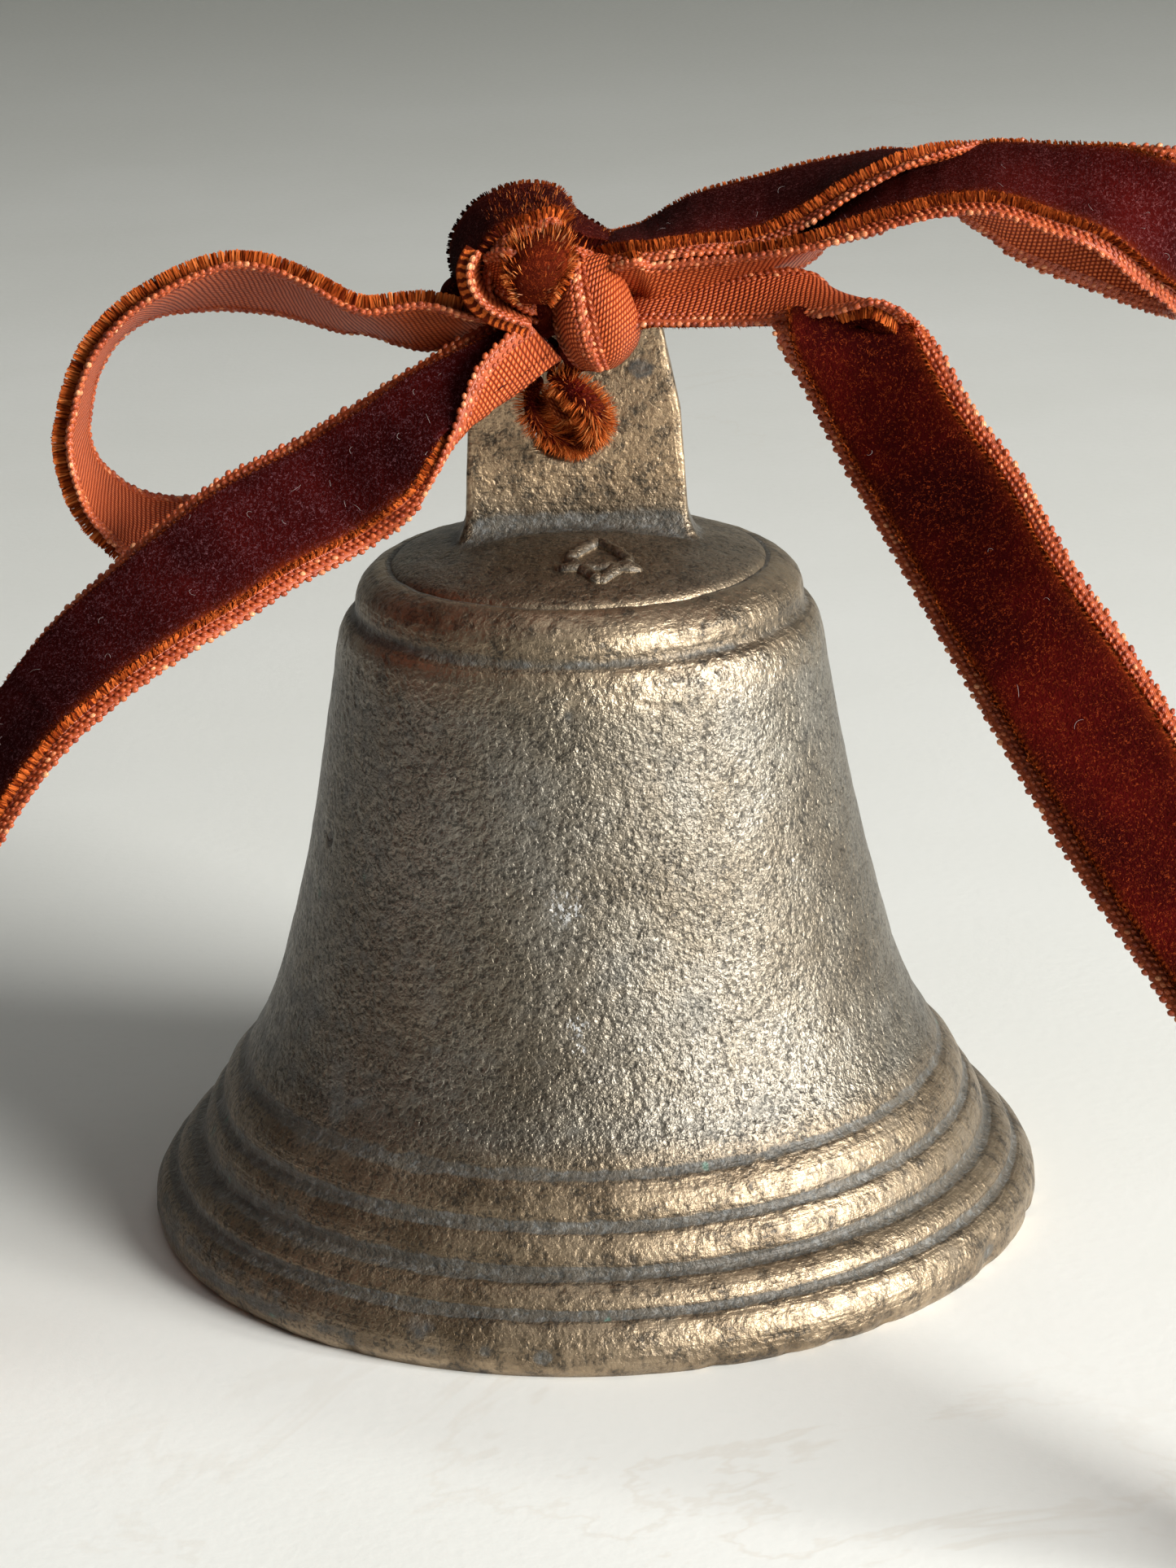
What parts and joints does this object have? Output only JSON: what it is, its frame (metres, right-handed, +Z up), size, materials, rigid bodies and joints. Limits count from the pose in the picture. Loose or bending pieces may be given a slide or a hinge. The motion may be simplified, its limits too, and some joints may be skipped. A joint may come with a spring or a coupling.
{
  "type": "sanctus bell",
  "caption": "Small cast bronze bell with moulded flared mouth, flat pierced tang, hanging iron clapper on a cast-in staple, and a velvet ribbon tied in a bow.",
  "frame": {"origin": "centre of the mouth, on the plane the lip stands on", "axes": "+Z up along the bell's axis to the tang; the flat faces of the tang look along +Y and -Y; the knot of the bow is on the -Y side"},
  "size_m": [0.146, 0.119, 0.0826],
  "materials": {
    "bronze": "sand-cast bronze, aged grey-brown, worn bright on the mouldings, dark blue-grey in the grooves",
    "staple_iron": "dark drawn iron wire",
    "link_iron": "dark iron wire, rubbed where it bears",
    "clapper_iron": "forged iron, oil-dark",
    "ball_iron": "turned iron, dulled, with a worn striking band",
    "velvet": "rust-red velvet pile, salmon satin back, corded selvedges"
  },
  "bodies": {
    "bell": {"bell_body": "bronze", "crown_staple": "staple_iron", "velvet_ribbon": "velvet"},
    "link": {"clapper_link": "link_iron"},
    "clapper": {"clapper_shaft": "clapper_iron", "clapper_ball": "ball_iron"}
  },
  "joints": [
    {"name": "clapper_swing", "type": "hinge", "parent": "bell", "child": "link", "pos_m": [0, 0, 0.043], "axis": [0, 1, 0], "range_deg": [-28, 28]},
    {"name": "clapper_side_swing", "type": "hinge", "parent": "link", "child": "clapper", "pos_m": [0, 0, 0.03845], "axis": [1, 0, 0], "range_deg": [-6, 6]}
  ]
}
